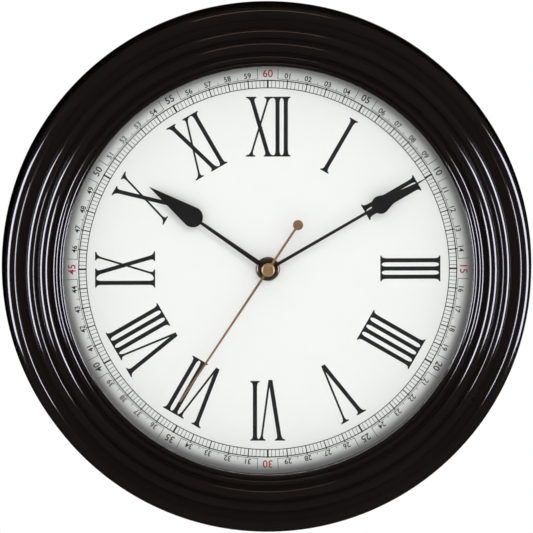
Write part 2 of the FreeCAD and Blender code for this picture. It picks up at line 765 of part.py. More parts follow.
def hour_hand():
    bulb_y, bulb_r, tip_y = (52.7, 5.9, 83.1)
    tangent = math.asin(bulb_r / (tip_y - bulb_y))
    neck = -math.acos(0.9 / bulb_r)
    side = [(1.45, 0.0)]
    side += bulb_outline(bulb_y, bulb_r, neck, tangent)
    side.append((0.1, tip_y))
    blade = sheet_hand(mirrored(side), HOUR_HAND_Z, HOUR_ANGLE)
    hub = disc(HUB_R, HOUR_HAND_Z, HOUR_HAND_Z + HAND_T)
    return blade.fuse(hub).cut(disc(HOUR_PIPE_R, 20, 35))


def hour_collet():
    return ring(HOUR_PIPE_R, 3.4, 27.0, HOUR_HAND_Z)


def minute_hand():
    bulb_y, bulb_r, tip_y = (74.6, 5.25, 106.0)
    neck = -math.acos(0.8 / bulb_r)
    side = [(0.95, 0.0)]
    side += bulb_outline(bulb_y, bulb_r, neck, math.radians(28))
    side += [(3.35, 80.6), (2.4, 84.2), (1.65, 88.8), (1.1, 93.0), (0.55, 99.0), (0.12, tip_y)]
    blade = sheet_hand(mirrored(side), MINUTE_HAND_Z, MINUTE_ANGLE)
    hub = disc(HUB_R - 0.2, MINUTE_HAND_Z, MINUTE_HAND_Z + HAND_T)
    return blade.fuse(hub).cut(disc(MINUTE_PIPE_R, 20, 35))


def minute_bush():
    return ring(MINUTE_PIPE_R, 2.4, 28.5, MINUTE_HAND_Z)


def second_hand():
    side = [(0.62, -SECOND_TAIL), (0.72, 0.0), (0.5, SECOND_TIP)]
    blade = sheet_hand(mirrored(side), SECOND_HAND_Z, SECOND_ANGLE)
    weight_at = polar(SECOND_TAIL, math.radians(90 - SECOND_ANGLE + 180))
    weight = disc(WEIGHT_R, SECOND_HAND_Z, SECOND_HAND_Z + HAND_T, *weight_at)
    hub = disc(2.2, SECOND_HAND_Z, SECOND_HAND_Z + HAND_T)
    return joined([blade, weight, hub]).cut(disc(SECOND_ARBOR_R, 20, 35))


def second_tube():
    return ring(SECOND_ARBOR_R, 1.2, 30.1, SECOND_HAND_Z)


def hand_cap():
    low_z = SECOND_HAND_Z + HAND_T
    cap = disc(CAP_R, low_z, low_z + CAP_H)
    rim = [e for e in cap.Edges if e.Closed and e.BoundBox.ZMin > low_z + CAP_H - 0.01]
    return cap.makeFillet(1.4, rim)


PIECES = (
    bezel, back_plate, dial, reveal_ring, lens, case_screws, hanger_plate, hanger_screws,
    movement_housing, movement_cover, bearing_plate, threaded_stem, rubber_washer,
    front_washer, fixing_nut, circuit_board, clock_chip, quartz_crystal, coil_bobbin,
    coil_winding, coil_core, stator, positive_contact, negative_contact, battery_cell,
    battery_sleeve, rotor_magnet, rotor_pinion, intermediate_wheel, intermediate_pinion,
    second_wheel, second_arbor, third_wheel, third_pinion, centre_wheel, clutch_spring,
    cannon_pinion, minute_wheel, minute_wheel_washer, hour_wheel, hour_wheel_washer,
    set_shaft, set_shaft_washer, set_knob, hour_hand, hour_collet, minute_hand,
    minute_bush, second_hand, second_tube, hand_cap,
)

os.makedirs("parts", exist_ok=True)
for piece in PIECES:
    save(piece.__name__, piece())
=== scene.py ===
import math

import bpy
import bmesh
from mathutils import Matrix, Vector


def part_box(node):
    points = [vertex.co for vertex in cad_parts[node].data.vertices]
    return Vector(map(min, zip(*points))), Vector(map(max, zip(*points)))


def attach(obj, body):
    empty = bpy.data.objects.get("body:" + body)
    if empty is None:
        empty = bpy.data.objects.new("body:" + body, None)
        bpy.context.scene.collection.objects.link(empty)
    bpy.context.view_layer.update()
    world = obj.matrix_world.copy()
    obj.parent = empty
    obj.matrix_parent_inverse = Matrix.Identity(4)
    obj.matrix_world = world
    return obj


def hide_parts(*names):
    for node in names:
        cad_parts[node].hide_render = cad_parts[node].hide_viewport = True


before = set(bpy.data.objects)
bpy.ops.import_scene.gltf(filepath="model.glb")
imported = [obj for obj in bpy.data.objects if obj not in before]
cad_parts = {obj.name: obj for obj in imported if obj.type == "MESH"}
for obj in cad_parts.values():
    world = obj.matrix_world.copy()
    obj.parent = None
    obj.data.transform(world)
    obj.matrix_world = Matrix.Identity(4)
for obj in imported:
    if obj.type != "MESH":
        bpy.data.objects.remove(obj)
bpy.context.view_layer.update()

# Schoolhouse wall clock. Lengths in the dictionaries are millimetres on the bench:
# x right, y to twelve o'clock, depth from the wall to the viewer.
mm = 0.001


def place(x, y, depth):
    # bench millimetres to the frame's metres
    return Vector((x * mm, -depth * mm, y * mm))


def clockTurn(degrees):
    # clockwise turn seen from the front
    return Matrix.Rotation(math.radians(degrees), 4, "Y")


def levelOf(node):
    # lowest and highest depth of a CAD node above the wall, in millimetres
    low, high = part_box(node)
    return -high[1] / mm, -low[1] / mm


# materials: one maker for the nodes they share, then one short function each


def newMaterial(name, color, roughness, metallic=0.0):
    mat = bpy.data.materials.new(name)
    mat.use_nodes = True
    shader = mat.node_tree.nodes["Principled BSDF"]
    shader.inputs["Base Color"].default_value = (*color, 1.0)
    shader.inputs["Roughness"].default_value = roughness
    shader.inputs["Metallic"].default_value = metallic
    return mat, mat.node_tree, shader


def addNoise(tree, scale, detail=4.0, stretch=(1, 1, 1), distortion=0.0):
    coords = tree.nodes.new("ShaderNodeTexCoord")
    mapping = tree.nodes.new("ShaderNodeMapping")
    mapping.inputs["Scale"].default_value = stretch
    noise = tree.nodes.new("ShaderNodeTexNoise")
    noise.inputs["Scale"].default_value = scale
    noise.inputs["Detail"].default_value = detail
    noise.inputs["Distortion"].default_value = distortion
    tree.links.new(coords.outputs["Object"], mapping.inputs["Vector"])
    tree.links.new(mapping.outputs["Vector"], noise.inputs["Vector"])
    return noise.outputs["Fac"]


def addRange(tree, value, low, high, fromLow=0.3, fromHigh=0.7):
    node = tree.nodes.new("ShaderNodeMapRange")
    node.inputs["From Min"].default_value = fromLow
    node.inputs["From Max"].default_value = fromHigh
    node.inputs["To Min"].default_value = low
    node.inputs["To Max"].default_value = high
    tree.links.new(value, node.inputs["Value"])
    return node.outputs["Result"]


def addMix(tree, value, first, second):
    node = tree.nodes.new("ShaderNodeMix")
    node.data_type = "RGBA"
    node.inputs[6].default_value = (*first, 1.0)
    node.inputs[7].default_value = (*second, 1.0)
    tree.links.new(value, node.inputs[0])
    return node.outputs[2]


def addBump(tree, shader, height, strength, distance):
    node = tree.nodes.new("ShaderNodeBump")
    node.inputs["Strength"].default_value = strength
    node.inputs["Distance"].default_value = distance
    tree.links.new(height, node.inputs["Height"])
    previous = shader.inputs["Normal"]
    if previous.is_linked:
        tree.links.new(previous.links[0].from_socket, node.inputs["Normal"])
    tree.links.new(node.outputs["Normal"], previous)


def addRadius(tree):
    # distance from the hand axis, in metres, for turned and printed round pieces
    coords = tree.nodes.new("ShaderNodeTexCoord")
    flat = tree.nodes.new("ShaderNodeVectorMath")
    flat.operation = "MULTIPLY"
    flat.inputs[1].default_value = (1, 0, 1)
    length = tree.nodes.new("ShaderNodeVectorMath")
    length.operation = "LENGTH"
    tree.links.new(coords.outputs["Object"], flat.inputs[0])
    tree.links.new(flat.outputs["Vector"], length.inputs[0])
    return length.outputs["Value"]


def mouldedMaterial(name, color, roughness, grain=900.0, bump=0.15, wear=0.04):
    # moulded plastic: fine skin, slow colour drift and uneven gloss
    mat, tree, shader = newMaterial(name, color, roughness)
    drift = addNoise(tree, 18.0, 3.0)
    lighter = [min(1.0, c * 1.12 + wear * 0.05) for c in color]
    darker = [c * 0.9 for c in color]
    tree.links.new(addMix(tree, drift, darker, lighter), shader.inputs["Base Color"])
    patches = addNoise(tree, 45.0, 6.0)
    spread = addRange(tree, patches, roughness - wear, roughness + wear)
    tree.links.new(spread, shader.inputs["Roughness"])
    addBump(tree, shader, addNoise(tree, grain, 3.0), bump, 0.00006)
    return mat


def metalMaterial(name, color, roughness, stretch=(1, 1, 1), scale=700.0, bump=0.2, dull=0.6):
    # drawn, ground or plated metal, with tarnish in patches and fine tool lines
    mat, tree, shader = newMaterial(name, color, roughness, 1.0)
    tarnish = addNoise(tree, 60.0, 7.0)
    dark = [c * dull for c in color]
    tone = addRange(tree, tarnish, 0.0, 1.0, 0.35, 0.65)
    tree.links.new(addMix(tree, tone, dark, color), shader.inputs["Base Color"])
    lines = addNoise(tree, scale, 5.0, stretch)
    tree.links.new(addRange(tree, lines, roughness * 0.75, roughness * 1.3), shader.inputs["Roughness"])
    addBump(tree, shader, lines, bump, 0.00003)
    return mat


def turnedMaterial(name, color, roughness, ringScale=9000.0, dull=0.6, anisotropy=0.7):
    # metal turned on a lathe: concentric tool marks round the hand axis
    mat, tree, shader = newMaterial(name, color, roughness, 1.0)
    shader.inputs["Anisotropic"].default_value = anisotropy
    tangent = tree.nodes.new("ShaderNodeTangent")
    tangent.direction_type = "RADIAL"
    tangent.axis = "Y"
    tree.links.new(tangent.outputs["Tangent"], shader.inputs["Tangent"])
    rings = tree.nodes.new("ShaderNodeTexNoise")
    rings.noise_dimensions = "1D"
    rings.inputs["Scale"].default_value = ringScale
    rings.inputs["Detail"].default_value = 2.0
    tree.links.new(addRadius(tree), rings.inputs["W"])
    dark = [c * dull for c in color]
    patches = addNoise(tree, 260.0, 5.0)
    tree.links.new(addMix(tree, addRange(tree, patches, 0, 1), dark, color), shader.inputs["Base Color"])
    tree.links.new(addRange(tree, rings.outputs["Fac"], roughness * 0.8, roughness * 1.25),
                   shader.inputs["Roughness"])
    addBump(tree, shader, rings.outputs["Fac"], 0.25, 0.00002)
    return mat


def printMaterial(name, color, roughness):
    # screen-printed ink, slightly uneven in cover
    mat, tree, shader = newMaterial(name, color, roughness)
    cover = addRange(tree, addNoise(tree, 1400.0, 4.0), 0.0, 1.0, 0.4, 0.75)
    tree.links.new(addMix(tree, cover, color, [min(1, c + 0.012) for c in color]),
                   shader.inputs["Base Color"])
    tree.links.new(addRange(tree, addNoise(tree, 300.0), roughness - 0.06, roughness + 0.06),
                   shader.inputs["Roughness"])
    addBump(tree, shader, addNoise(tree, 2600.0, 2.0), 0.15, 0.00001)
    return mat


# mesh makers


def finishMesh(name, mesh, material, body, nodes=(), angle=35.0):
    mesh.materials.append(material)
    for face in mesh.polygons:
        face.use_smooth = True
    mesh.set_sharp_from_angle(angle=math.radians(angle))
    piece = bpy.data.objects.new(name, mesh)
    bpy.context.scene.collection.objects.link(piece)
    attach(piece, body)
    if nodes:
        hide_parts(*nodes)
    return piece


def arcPoints(centreR, centreDepth, radius, fromDegrees, toDegrees, count=14):
    points = []
    for i in range(count + 1):
        angle = math.radians(fromDegrees + (toDegrees - fromDegrees) * i / count)
        points.append((centreR + radius * math.cos(angle), centreDepth + radius * math.sin(angle)))
    return points


def lathe(name, profile, steps, material, body, nodes=(), closed=True, angle=35.0):
    # turn a profile of (radius, depth) points round the hand axis
    mesh = bpy.data.meshes.new(name)
    made = bmesh.new()
    rows = []
    for radius, depth in profile:
        if radius < 1e-6:
            rows.append([made.verts.new(place(0, 0, depth))])
            continue
        row = []
        for i in range(steps):
            turn = 2 * math.pi * i / steps
            row.append(made.verts.new(place(radius * math.sin(turn), radius * math.cos(turn), depth)))
        rows.append(row)
    pairs = list(zip(rows, rows[1:]))
    if closed:
        pairs.append((rows[-1], rows[0]))
    for near, far in pairs:
        for i in range(steps):
            j = (i + 1) % steps
            corners = [near[i % len(near)], near[j % len(near)], far[j % len(far)], far[i % len(far)]]
            unique = list(dict.fromkeys(corners))
            if len(unique) > 2:
                made.faces.new(unique)
    bmesh.ops.recalc_face_normals(made, faces=made.faces)
    made.to_mesh(mesh)
    made.free()
    return finishMesh(name, mesh, material, body, nodes, angle)


def prism(made, outline, lowDepth, topDepth, turn=None):
    # add a closed slab with this outline, a list of (x, y) points
    low = [place(x, y, lowDepth) for x, y in outline]
    top = [place(x, y, topDepth) for x, y in outline]
    if turn is not None:
        low = [turn @ p for p in low]
        top = [turn @ p for p in top]
    lowVerts = [made.verts.new(p) for p in low]
    topVerts = [made.verts.new(p) for p in top]
    made.faces.new(lowVerts)
    made.faces.new(list(reversed(topVerts)))
    for i in range(len(outline)):
        j = (i + 1) % len(outline)
        made.faces.new([lowVerts[i], topVerts[i], topVerts[j], lowVerts[j]])


def meshFrom(name, made):
    bmesh.ops.recalc_face_normals(made, faces=made.faces)
    mesh = bpy.data.meshes.new(name)
    made.to_mesh(mesh)
    made.free()
    return mesh


def withBevel(piece, width, segments=3, angle=40.0):
    # round the edges, then keep only the finished mesh
    bevel = piece.modifiers.new("edge", "BEVEL")
    bevel.width = width * mm
    bevel.segments = segments
    bevel.limit_method = "ANGLE"
    bevel.angle_limit = math.radians(angle)
    bpy.context.view_layer.update()
    shaped = bpy.data.meshes.new_from_object(piece.evaluated_get(bpy.context.evaluated_depsgraph_get()))
    piece.modifiers.clear()
    piece.data = shaped
    return piece


# case

caseLook = {
    "color": (0.0085, 0.0062, 0.0056),  # very dark brown-black
    "roughness": 0.10,
    "steps": 512,
    "rimR": 152.5,
    "lipR": 117.5,
    "flatDepth": 32.4,
    "bandDepths": (36.0, 36.4),
    "valleyDepth": 37.0,
    # radius, depth and size of each bead, from the rim inwards
    "beads": ((147.2, 30.0, 4.0), (136.3, 35.0, 3.0), (129.1, 37.5, 3.0), (122.4, 38.0, 1.6),
              (118.9, 37.9, 1.3)),
    "footRound": 0.9,
    "glassPocketR": 120.8,
    "dialPocketR": 123.8,
    # the hollow behind the front: each step's outer radius and depth
    "hollow": ((131.0, 34.0), (136.6, 32.4), (146.6, 29.4)),
    "backPocketR": 149.5,
    "backEdge": 0.4,
}


def caseMaterial():
    mat = mouldedMaterial("caseBlackBrown", caseLook["color"], caseLook["roughness"], 300.0, 0.05, 0.03)
    shader = mat.node_tree.nodes["Principled BSDF"]
    shader.inputs["Coat Weight"].default_value = 0.35
    shader.inputs["Coat Roughness"].default_value = 0.05
    addBump(mat.node_tree, shader, addNoise(mat.node_tree, 28.0, 2.0), 0.05, 0.0012)
    return mat


def beadArc(bead, outerDepth, innerDepth, count=16):
    radius, depth, size = bead
    start = math.degrees(math.asin(max(-1, min(1, (outerDepth - depth) / size))))
    stop = 180 - math.degrees(math.asin(max(-1, min(1, (innerDepth - depth) / size))))
    return arcPoints(radius, depth, size, start, stop, count)


def makeCase():
    look = caseLook
    outer, step, main, inner, lip = look["beads"]
    lowBand, highBand = look["bandDepths"]
    lensTop = levelOf("lens")[1]
    dialLow, dialTop = levelOf("dial")
    rim, foot = look["rimR"], look["footRound"]
    profile = arcPoints(rim - foot, foot, foot, 270, 360, 5)
    profile += beadArc(outer, outer[1], look["flatDepth"], 26)
    profile += [(step[0] + step[2], look["flatDepth"])]
    profile += beadArc(step, step[1], lowBand, 22)
    profile += [(main[0] + main[2], highBand)]
    profile += beadArc(main, main[1], main[1], 24)
    profile += [(main[0] - main[2], look["valleyDepth"]), (inner[0] + inner[2], look["valleyDepth"])]
    profile += beadArc(inner, inner[1], inner[1], 16)
    profile += beadArc(lip, lip[1], lip[1], 14)
    profile += [(look["lipR"], lensTop), (look["glassPocketR"], lensTop), (look["glassPocketR"], dialTop)]
    wallR = look["dialPocketR"]
    profile.append((wallR, dialTop))
    for outerR, depth in look["hollow"]:
        profile += [(wallR, depth), (outerR, depth)]
        wallR = outerR
    pocket, edge = look["backPocketR"], look["backEdge"]
    profile += [(wallR, dialLow), (pocket, dialLow), (pocket, edge), (pocket + edge, 0.0)]
    return lathe("beadedCase", profile, look["steps"], caseMaterial(), "case", ["bezel"])


makeCase()
print("case made")


# glass and reveal

glassLook = {"radius": 120.5, "edge": 0.4, "tint": (0.002, 0.004, 0.003), "clear": 0.96}


def glassMaterial():
    # thin flat glass: light goes straight through, and only its gloss is added
    mat = bpy.data.materials.new("clearGlass")
    mat.use_nodes = True
    tree = mat.node_tree
    tree.nodes.clear()
    out = tree.nodes.new("ShaderNodeOutputMaterial")
    shader = tree.nodes.new("ShaderNodeBsdfPrincipled")
    shader.inputs["Base Color"].default_value = (*glassLook["tint"], 1.0)
    shader.inputs["IOR"].default_value = 1.5
    shader.inputs["Alpha"].default_value = 1.0 - glassLook["clear"]
    smear = addRange(tree, addNoise(tree, 22.0, 6.0), 0.008, 0.03)
    tree.links.new(smear, shader.inputs["Roughness"])
    tree.links.new(shader.outputs["BSDF"], out.inputs["Surface"])
    return mat


def makeGlass():
    low, top = levelOf("lens")
    edge = glassLook["edge"]
    outer = glassLook["radius"]
    profile = [(0, low), (outer - edge, low)]
    profile += [(outer, low + edge), (outer, top - edge), (outer - edge, top), (0, top)]
    return lathe("frontGlass", profile, 256, glassMaterial(), "case", ["lens"], closed=False)


makeGlass()
print("glass made")


# dial sheet and its print

dialLook = {
    "color": (0.91, 0.93, 0.905),
    "holeR": 4.2,
    "radius": 123.5,
    "ink": (0.004, 0.004, 0.0035),
    "greyInk": (0.055, 0.057, 0.055),
    "redInk": (0.43, 0.014, 0.032),
    "lift": 0.035,  # ink above the sheet
    # painted shade at the rim: each radius and the brightness the dial's colour is darkened to there
    "paintedRimShade": ((108.0, 1.0), (111.5, 0.93), (113.4, 0.72), (115.0, 0.42), (116.6, 0.24)),
}


def dialMaterial():
    mat, tree, shader = newMaterial("dialEnamel", dialLook["color"], 0.55)
    drift = addRange(tree, addNoise(tree, 9.0, 5.0), 0.0, 1.0, 0.25, 0.75)
    warm = [c * w for c, w in zip(dialLook["color"], (1.0, 0.996, 0.988))]
    tree.links.new(addMix(tree, drift, dialLook["color"], warm), shader.inputs["Base Color"])
    tree.links.new(addRange(tree, addNoise(tree, 120.0), 0.48, 0.62), shader.inputs["Roughness"])
    addBump(tree, shader, addNoise(tree, 1500.0, 3.0), 0.08, 0.00003)
    # painted shade: the sheet's colour is darkened towards the rim, under the case lip, on top of the shade
    # the lip really casts
    paintedRimShade = tree.nodes.new("ShaderNodeValToRGB")
    stops = paintedRimShade.color_ramp.elements
    while len(stops) < len(dialLook["paintedRimShade"]):
        stops.new(0.5)
    for stop, (radius, level) in zip(stops, dialLook["paintedRimShade"]):
        stop.position = (radius - 100.0) / 20.0
        stop.color = (level, level, level, 1.0)
    tree.links.new(addRange(tree, addRadius(tree), 0.0, 1.0, 100 * mm, 120 * mm), paintedRimShade.inputs["Fac"])
    paint = shader.inputs["Base Color"].links[0].from_socket
    both = tree.nodes.new("ShaderNodeMix")
    both.data_type = "RGBA"
    both.blend_type = "MULTIPLY"
    both.inputs[0].default_value = 1.0
    tree.links.new(paint, both.inputs[6])
    tree.links.new(paintedRimShade.outputs["Color"], both.inputs[7])
    tree.links.new(both.outputs[2], shader.inputs["Base Color"])
    return mat


def makeDialSheet():
    low, top = levelOf("dial")
    hole = dialLook["holeR"]
    profile = [(hole, low), (dialLook["radius"], low), (dialLook["radius"], top - 0.1)]
    profile += [(dialLook["radius"] - 0.1, top), (hole + 0.1, top), (hole, top - 0.1)]
    return lathe("dialSheet", profile, 360, dialMaterial(), "case", ["dial"])


makeDialSheet()
inkBlack = printMaterial("inkBlack", dialLook["ink"], 0.45)
inkGrey = printMaterial("inkGrey", dialLook["greyInk"], 0.5)
inkRed = printMaterial("inkRed", dialLook["redInk"], 0.45)
sheetTop = levelOf("dial")[1]

# Roman numerals: each letter is one or two legs between two serif lines
numeralLook = {
    "innerR": 64.7,
    "height": 34.5,
    "thick": 2.38,
    "thin": 1.15,
    "serif": 0.85,  # thickness of the serif bar
    "bracket": 4.0,  # how far the curved join runs up the leg
    # each leg: foot x, head x, weight, half serif at the foot and at the head, foot height
    "legs": {
        "I": ((0.0, 0.0, "thick", 2.79, 2.79, 0.0),),
        "V": ((0.15, -5.4, "thick", 0, 3.1, -0.6), (0.75, 5.4, "thin", 0, 2.6, -0.2)),
        "X": ((5.1, -4.9, "thick", 2.9, 3.1, 0.0), (-5.3, 5.2, "thin", 2.8, 2.6, 0.0)),
    },
    "gaps": {"II": 4.75, "XI": 10.25, "IX": 10.25, "VI": 9.0, "IV": 9.0},
    "halfWidths": {"I": (2.79, 2.79), "V": (8.5, 7.9), "X": (8.5, 8.3)},
}
numerals = ("XII", "I", "II", "III", "IIII", "V", "VI", "VII", "VIII", "IX", "X", "XI")


def softCurve(start, control, end, count=8):
    points = []
    for i in range(count + 1):
        t = i / count
        a, b, c = (1 - t) ** 2, 2 * t * (1 - t), t ** 2
        points.append((a * start[0] + b * control[0] + c * end[0],
                       a * start[1] + b * control[1] + c * end[1]))
    return points


def legOutline(lowX, topX, width, lowSerif, topSerif, lowY):
    # one leg of a letter; a serif of 0 leaves that end plain
    height = numeralLook["height"]
    bar = numeralLook["serif"]
    reach = numeralLook["bracket"]

    def middle(y):
        return lowX + (topX - lowX) * (y - lowY) / (height - lowY)

    def side(sign):
        points = []
        edge = sign * width / 2
        if lowSerif:
            tip = lowX + sign * lowSerif
            points += [(tip - sign * 0.25, 0), (tip, 0.25), (tip - sign * 0.1, bar * 0.7)]
            points += softCurve((tip - sign * 0.5, bar), (middle(bar) + edge, bar * 1.1),
                                (middle(reach) + edge, reach))
        else:
            points.append((lowX + edge, lowY))
        if topSerif:
            tip = topX + sign * topSerif
            high = height - reach
            bend = (middle(height - bar) + edge, height - bar * 1.1)
            points += softCurve((middle(high) + edge, high), bend, (tip - sign * 0.5, height - bar))
            points += [(tip - sign * 0.1, height - bar * 0.7), (tip, height - 0.25)]
            points.append((tip - sign * 0.25, height))
        else:
            points.append((topX + edge, height))
        return points

    return side(1) + list(reversed(side(-1)))


def letterLegs(letter, x):
    look = numeralLook
    return [
        legOutline(x + footX, x + headX, look[weight], footSerif, headSerif, footY)
        for footX, headX, weight, footSerif, headSerif, footY in look["legs"][letter]
    ]


def numeralOutlines(word):
    look = numeralLook
    positions = [0.0]
    for left, right in zip(word, word[1:]):
        positions.append(positions[-1] + look["gaps"][left + right])
    low = positions[0] - look["halfWidths"][word[0]][0]
    high = positions[-1] + look["halfWidths"][word[-1]][1]
    shift = (low + high) / 2
    outlines = []
    for letter, x in zip(word, positions):
        outlines += letterLegs(letter, x - shift)
    return outlines


def makeNumerals():
    made = bmesh.new()
    for hour, word in enumerate(numerals):
        turn = clockTurn(hour * 30)
        for i, outline in enumerate(numeralOutlines(word)):
            raised = [(x, y + numeralLook["innerR"]) for x, y in outline]
            # each leg is a hair higher than the last, so crossing legs never share a face
            prism(made, raised, sheetTop - 0.01, sheetTop + dialLook["lift"] + 0.003 * i, turn)
    return finishMesh("romanNumerals", meshFrom("romanNumerals", made), inkBlack, "case", ())


makeNumerals()
print("numerals made")

trackLook = {
    "rails": ((108.6, 0.56), (104.35, 0.46)),  # radius and width of the two circles
    "fine": (104.4, 108.5, 0.30),
    "minute": (104.4, 109.7, 0.58),
    "hour": (104.4, 109.0, 0.95),
    "guide": (109.55, 0.26),
    "half": (109.5, 111.1, 0.26),
    "divider": (109.5, 115.9, 0.32),
    "dividerTurn": 3.0,
}


def strip(made, lowR, topR, width, degrees, top):
    half = width / 2
    outline = [(-half, lowR), (half, lowR), (half, topR), (-half, topR)]
    prism(made, outline, sheetTop - 0.01, top, clockTurn(degrees))


def ringBand(made, radius, width, top, fromDegrees=0.0, toDegrees=360.0):
    count = max(2, round((toDegrees - fromDegrees) / 0.75))
    whole = toDegrees - fromDegrees > 359.9
    outer, inner = radius + width / 2, radius - width / 2
    rows = []
    for i in range(count if whole else count + 1):
        angle = math.radians(fromDegrees + (toDegrees - fromDegrees) * i / count)
        s, c = math.sin(angle), math.cos(angle)
        rows.append([
            made.verts.new(place(outer * s, outer * c, sheetTop - 0.01)),
            made.verts.new(place(outer * s, outer * c, top)),
            made.verts.new(place(inner * s, inner * c, top)),
            made.verts.new(place(inner * s, inner * c, sheetTop - 0.01)),
        ])
    links = list(zip(rows, rows[1:]))
    if whole:
        links.append((rows[-1], rows[0]))
    else:
        made.faces.new(rows[0])
        made.faces.new(list(reversed(rows[-1])))
    for here, there in links:
        for k in range(4):
            n = (k + 1) % 4
            made.faces.new([here[k], here[n], there[n], there[k]])


def makeTrack():
    top = sheetTop + dialLook["lift"]
    dark = bmesh.new()
    pale = bmesh.new()
    for radius, width in trackLook["rails"]:
        ringBand(dark, radius, width, top)
    for tick in range(300):
        degrees = tick * 1.2
        if tick % 25 == 0:
            strip(dark, *trackLook["hour"], degrees, top + 0.004)
        elif tick % 5 == 0:
            strip(dark, *trackLook["minute"], degrees, top + 0.004)
        else:
            strip(pale, *trackLook["fine"], degrees, top - 0.008)
    away = trackLook["dividerTurn"]
    for hour in range(12):
        degrees = hour * 30
        ringBand(pale, *trackLook["guide"], top - 0.004, degrees + away, degrees + 30 - away)
        for side in (-away, away):
            strip(pale, *trackLook["divider"], degrees + side, top - 0.006)
        for half in range(1, 4):
            strip(pale, *trackLook["half"], degrees + 3 + 6 * half, top - 0.006)
    finishMesh("minuteTrack", meshFrom("minuteTrack", dark), inkBlack, "case", ())
    finishMesh("fineTrack", meshFrom("fineTrack", pale), inkGrey, "case", ())


makeTrack()

figureLook = {
    "small": {"height": 3.0, "radius": 111.55},
    "five": {"height": 3.9, "radius": 112.6},
    "quarter": {"height": 4.3, "radius": 112.4},
    "weight": 0.07,  # strokes are thickened by this much
    "squeeze": 0.98,  # figures are a little narrow
}


def makeFigures():
    plain = bmesh.new()
    red = bmesh.new()
    top = sheetTop + dialLook["lift"]
    font = bpy.data.curves.new("figures", "FONT")
    font.align_x = "CENTER"
    font.align_y = "CENTER"
    font.resolution_u = 3
    holder = bpy.data.objects.new("figures", font)
    bpy.context.scene.collection.objects.link(holder)
    for minute in range(1, 61):
        kind = "quarter" if minute % 15 == 0 else "five" if minute % 5 == 0 else "small"
        look = figureLook[kind]
        font.body = "%02d" % minute
        font.size = look["height"] / 0.70
        font.extrude = 0.02
        font.offset = figureLook["weight"]
        bpy.context.view_layer.update()
        flat = bpy.data.meshes.new_from_object(holder.evaluated_get(bpy.context.evaluated_depsgraph_get()))
        turn = clockTurn(minute * 6)
        for vert in flat.vertices:
            x, y, z = vert.co
            vert.co = turn @ place(x * figureLook["squeeze"], y + look["radius"], top - 0.02 + z)
        (red if kind == "quarter" else plain).from_mesh(flat)
        bpy.data.meshes.remove(flat)
    bpy.data.objects.remove(holder)
    for name, made, ink in (("minuteFigures", plain, inkBlack), ("quarterFigures", red, inkRed)):
        bmesh.ops.remove_doubles(made, verts=made.verts, dist=1e-7)
        finishMesh(name, meshFrom(name, made), ink, "case", ())


makeFigures()
print("dial print made")


# hands

handLook = {
    "color": (0.011, 0.0085, 0.008),
    "roughness": 0.34,
    "edge": 0.13,
    "hubR": 4.85,
    "hour": {"turn": 305.0, "bulbAt": 52.7, "bulbR": 5.9, "tipAt": 83.1, "root": 1.45, "neck": 0.9,
             "blade": ()},
    "minute": {"turn": 60.0, "bulbAt": 74.6, "bulbR": 5.25, "tipAt": 106.0, "root": 0.95, "neck": 0.8,
               "blade": ((3.35, 80.6), (2.4, 84.2), (1.65, 88.8), (1.1, 93.0), (0.55, 99.0))},
}
secondLook = {
    "color": (0.30, 0.180, 0.088),
    "roughness": 0.42,
    "turn": 213.7,
    "tipAt": 91.6,
    "tailAt": -31.0,
    # half widths at the tail, the hub and the tip
    "blade": (0.62, 0.72, 0.5),
    "weightR": 2.95,
    "hubR": 2.2,
}


def handOutline(look):
    # right half from the arbor to the tip, then mirrored
    bulbR, bulbAt = look["bulbR"], look["bulbAt"]
    start = -math.degrees(math.acos(look["neck"] / bulbR))
    if look["blade"]:
        stop = 28.0
    else:
        stop = math.degrees(math.asin(bulbR / (look["tipAt"] - bulbAt)))
    right = [(look["root"], handLook["hubR"] * 0.6)]
    right += arcPoints(0, bulbAt, bulbR, start, stop, 40)
    right += list(look["blade"])
    right.append((0.12, look["tipAt"]))
    return right + [(-x, y) for x, y in reversed(right)]


def circleOutline(radius, x=0.0, y=0.0, count=72):
    turns = [2 * math.pi * i / count for i in range(count)]
    return [(x + radius * math.cos(a), y + radius * math.sin(a)) for a in turns]


def makeHand(name, node, body, look, material):
    low, top = levelOf(node)
    made = bmesh.new()
    prism(made, handOutline(look), low, top, clockTurn(look["turn"]))
    piece = finishMesh(name, meshFrom(name, made), material, body, [node], 30)
    withBevel(piece, handLook["edge"])
    hub = [(2.0, low), (handLook["hubR"] - 0.1, low), (handLook["hubR"], low + 0.1)]
    hub += [(handLook["hubR"], top - 0.02), (handLook["hubR"] - 0.15, top + 0.02), (2.0, top + 0.02)]
    lathe(name + "Hub", hub, 96, material, body, ())
    return piece


handPaint = mouldedMaterial("handBlack", handLook["color"], handLook["roughness"], 1200.0, 0.2, 0.05)
makeHand("hourHand", "hour_hand", "hours", handLook["hour"], handPaint)
makeHand("minuteHand", "minute_hand", "minutes", handLook["minute"], handPaint)


